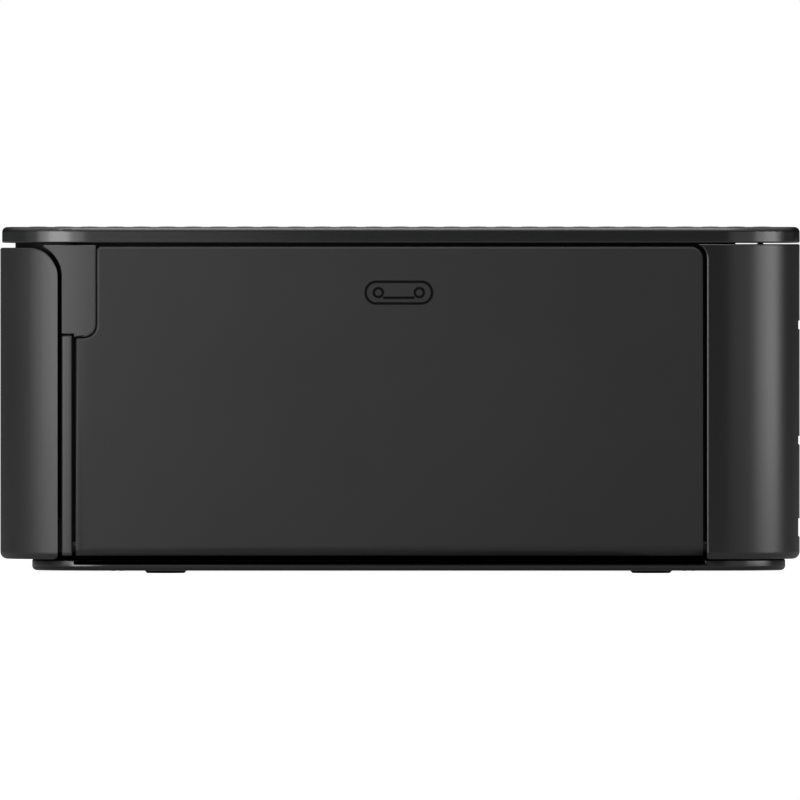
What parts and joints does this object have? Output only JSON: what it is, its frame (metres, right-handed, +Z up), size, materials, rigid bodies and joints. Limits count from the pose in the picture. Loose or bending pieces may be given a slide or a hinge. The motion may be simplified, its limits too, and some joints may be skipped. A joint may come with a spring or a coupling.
{
  "type": "compact photo printer",
  "caption": "Small flat printer for photo cards: low case with rounded corners, wrap-round paper flap, side door for the ink cassette, display and keys on top.",
  "frame": {"origin": "on the table under the middle of the case, midway between its sides and between its front and back", "axes": "+X to the printer's right, the side with the ink door; +Y to its back; +Z up"},
  "size_m": [0.1822, 0.133, 0.0576],
  "materials": {
    "case_plastic": "satin dark grey moulded plastic with fine grain",
    "door_plastic": "matt dark grey moulded plastic with spark-eroded texture",
    "frame_plastic": "matt black moulded plastic",
    "foot_rubber": "matt black rubber",
    "key_plastic": "satin grey moulded plastic",
    "window_glass": "smoked glossy window",
    "display_panel": "dark glossy display panel in a grey frame",
    "circuit_board": "green solder resist",
    "switch_metal": "tinned switch covers",
    "lens_plastic": "clear light guide",
    "sheet_steel": "zinc-plated sheet steel",
    "shaft_steel": "ground steel",
    "gear_plastic": "natural acetal",
    "guide_plastic": "black moulded plastic, polished ribs",
    "roller_rubber": "ground black rubber",
    "head_ceramic": "glazed white ceramic",
    "heatsink_aluminium": "extruded aluminium",
    "cassette_plastic": "grey moulded plastic",
    "spool_plastic": "black plastic core wound with film",
    "ribbon_film": "thin glossy dye film",
    "lever_plastic": "orange moulded plastic",
    "motor_steel": "plated steel can",
    "pinion_brass": "machined brass",
    "fan_plastic": "black moulded plastic"
  },
  "bodies": {
    "case": {"base_tray": "frame_plastic", "rubber_feet": "foot_rubber", "case_shell": "case_plastic", "front_frame": "frame_plastic", "front_pillar": "case_plastic", "flap_hinge_pins": "shaft_steel", "ink_bay_frame": "frame_plastic", "top_cover": "case_plastic", "display_glass": "window_glass", "display_module": "display_panel", "key_board": "circuit_board", "power_key_board": "circuit_board", "tact_switches": "switch_metal", "status_lens": "lens_plastic", "chassis_pan": "sheet_steel", "chassis_left": "sheet_steel", "chassis_right": "sheet_steel", "gearbox_plate": "sheet_steel", "roller_bushes": "gear_plastic", "feed_guide": "guide_plastic", "exit_guides": "guide_plastic", "head_pivot_rod": "shaft_steel", "supply_stub": "shaft_steel", "drive_motors": "motor_steel", "cooling_fan": "fan_plastic", "main_board": "circuit_board"},
    "flap": {"front_flap": "case_plastic"},
    "door": {"ink_door": "door_plastic", "ink_door_pins": "shaft_steel"},
    "power_key": {"power_key": "key_plastic"},
    "menu_key": {"menu_key": "key_plastic"},
    "plus_key": {"plus_key": "key_plastic"},
    "minus_key": {"minus_key": "key_plastic"},
    "back_key": {"back_key": "key_plastic"},
    "print_key": {"print_key": "key_plastic"},
    "ok_key": {"ok_key": "key_plastic"},
    "washer": {"ring_washer": "gear_plastic"},
    "ring": {"four_way_ring": "key_plastic"},
    "cassette": {"cassette_shell": "cassette_plastic", "ink_ribbon": "ribbon_film"},
    "supply": {"supply_spool": "spool_plastic"},
    "takeup": {"takeup_spool": "spool_plastic"},
    "takeup_drive": {"takeup_spindle": "gear_plastic"},
    "lever": {"eject_lever": "lever_plastic"},
    "platen": {"platen_shaft": "shaft_steel", "platen_rubber": "roller_rubber"},
    "capstan": {"capstan_roller": "shaft_steel", "capstan_gear": "gear_plastic"},
    "pinch": {"pinch_roller": "shaft_steel"},
    "pickup": {"pickup_shaft": "shaft_steel", "pickup_tyres": "roller_rubber", "pickup_gear": "gear_plastic"},
    "head": {"head_arm": "sheet_steel", "thermal_head": "head_ceramic", "head_heatsink": "heatsink_aluminium"},
    "capstan_reducer": {"capstan_reducer": "gear_plastic"},
    "capstan_pinion": {"capstan_pinion": "pinion_brass"},
    "pickup_reducer": {"pickup_reducer": "gear_plastic"},
    "pickup_pinion": {"pickup_pinion": "pinion_brass"},
    "fan": {"fan_rotor": "fan_plastic"}
  },
  "joints": [
    {"name": "flap_hinge", "type": "hinge", "parent": "case", "child": "flap", "pos_m": [0, -0.0639, 0.0049], "axis": [1, 0, 0], "range_deg": [0, 90]},
    {"name": "door_hinge", "type": "hinge", "parent": "case", "child": "door", "pos_m": [0.0894, 0, 0.0047], "axis": [0, 1, 0], "range_deg": [0, 90]},
    {"name": "power_key_press", "type": "slide", "parent": "case", "child": "power_key", "axis": [0, 0, -1], "range_m": [0, 0.0005], "stiffness_N_per_m": 800},
    {"name": "menu_key_press", "type": "slide", "parent": "case", "child": "menu_key", "axis": [0, 0, -1], "range_m": [0, 0.0005], "stiffness_N_per_m": 800},
    {"name": "plus_key_press", "type": "slide", "parent": "case", "child": "plus_key", "axis": [0, 0, -1], "range_m": [0, 0.0005], "stiffness_N_per_m": 800},
    {"name": "minus_key_press", "type": "slide", "parent": "case", "child": "minus_key", "axis": [0, 0, -1], "range_m": [0, 0.0005], "stiffness_N_per_m": 800},
    {"name": "back_key_press", "type": "slide", "parent": "case", "child": "back_key", "axis": [0, 0, -1], "range_m": [0, 0.0005], "stiffness_N_per_m": 800},
    {"name": "print_key_press", "type": "slide", "parent": "case", "child": "print_key", "axis": [0, 0, -1], "range_m": [0, 0.0005], "stiffness_N_per_m": 800},
    {"name": "ok_key_press", "type": "slide", "parent": "case", "child": "ok_key", "axis": [0, 0, -1], "range_m": [0, 0.0005], "stiffness_N_per_m": 800},
    {"name": "ring_rock_side", "type": "hinge", "parent": "case", "child": "washer", "pos_m": [0.0621, 0.002, 0.0538], "axis": [0, 1, 0], "range_deg": [-0.9, 0.9], "stiffness_Nm_per_rad": 0.15},
    {"name": "ring_rock_front", "type": "hinge", "parent": "washer", "child": "ring", "pos_m": [0.0621, 0.002, 0.0538], "axis": [1, 0, 0], "range_deg": [-0.9, 0.9], "stiffness_Nm_per_rad": 0.15},
    {"name": "cassette_eject", "type": "slide", "parent": "case", "child": "cassette", "axis": [1, 0, 0], "range_m": [0, 0.003]},
    {"name": "lever_slide", "type": "slide", "parent": "case", "child": "lever", "axis": [0, 0, 1], "range_m": [0, 0.006]},
    {"name": "capstan_spin", "type": "hinge", "parent": "case", "child": "capstan", "pos_m": [0, 0.046, 0.0215], "axis": [1, 0, 0], "continuous": true},
    {"name": "takeup_drive_spin", "type": "hinge", "parent": "case", "child": "takeup_drive", "pos_m": [0, 0.02969, 0.037], "axis": [1, 0, 0], "continuous": true},
    {"name": "takeup_spin", "type": "hinge", "parent": "cassette", "child": "takeup", "pos_m": [0, 0.02969, 0.037], "axis": [1, 0, 0], "continuous": true},
    {"name": "supply_spin", "type": "hinge", "parent": "cassette", "child": "supply", "pos_m": [0, -0.00969, 0.037], "axis": [1, 0, 0], "continuous": true},
    {"name": "capstan_reducer_spin", "type": "hinge", "parent": "case", "child": "capstan_reducer", "pos_m": [0, 0.03021, 0.01575], "axis": [1, 0, 0], "continuous": true},
    {"name": "capstan_pinion_spin", "type": "hinge", "parent": "case", "child": "capstan_pinion", "pos_m": [0, 0.01774, 0.02295], "axis": [1, 0, 0], "continuous": true},
    {"name": "pickup_spin", "type": "hinge", "parent": "case", "child": "pickup", "pos_m": [0, -0.038, 0.036], "axis": [1, 0, 0], "continuous": true},
    {"name": "pickup_reducer_spin", "type": "hinge", "parent": "case", "child": "pickup_reducer", "pos_m": [0, -0.0314, 0.02457], "axis": [1, 0, 0], "continuous": true},
    {"name": "pickup_pinion_spin", "type": "hinge", "parent": "case", "child": "pickup_pinion", "pos_m": [0, -0.0458, 0.02457], "axis": [1, 0, 0], "continuous": true},
    {"name": "platen_spin", "type": "hinge", "parent": "case", "child": "platen", "pos_m": [0, 0.01, 0.0185], "axis": [1, 0, 0], "continuous": true},
    {"name": "pinch_spin", "type": "hinge", "parent": "case", "child": "pinch", "pos_m": [0, 0.046, 0.02875], "axis": [1, 0, 0], "continuous": true},
    {"name": "head_pivot", "type": "hinge", "parent": "case", "child": "head", "pos_m": [0, 0.056, 0.034], "axis": [1, 0, 0], "range_deg": [0, 4]},
    {"name": "fan_spin", "type": "hinge", "parent": "case", "child": "fan", "pos_m": [-0.0654, 0, 0.032], "axis": [0, 1, 0], "continuous": true}
  ],
  "couplings": [
    {"joint": "takeup_drive_spin", "follows": "capstan_spin", "ratio": -1.1429},
    {"joint": "takeup_spin", "follows": "capstan_spin", "ratio": -1.1429},
    {"joint": "supply_spin", "follows": "capstan_spin", "ratio": -0.79734},
    {"joint": "capstan_reducer_spin", "follows": "capstan_spin", "ratio": -2.5},
    {"joint": "capstan_pinion_spin", "follows": "capstan_spin", "ratio": 7.5},
    {"joint": "pickup_reducer_spin", "follows": "pickup_spin", "ratio": -2.1429},
    {"joint": "pickup_pinion_spin", "follows": "pickup_spin", "ratio": 6.4286},
    {"joint": "lever_slide", "follows": "cassette_eject", "ratio": 2}
  ]
}
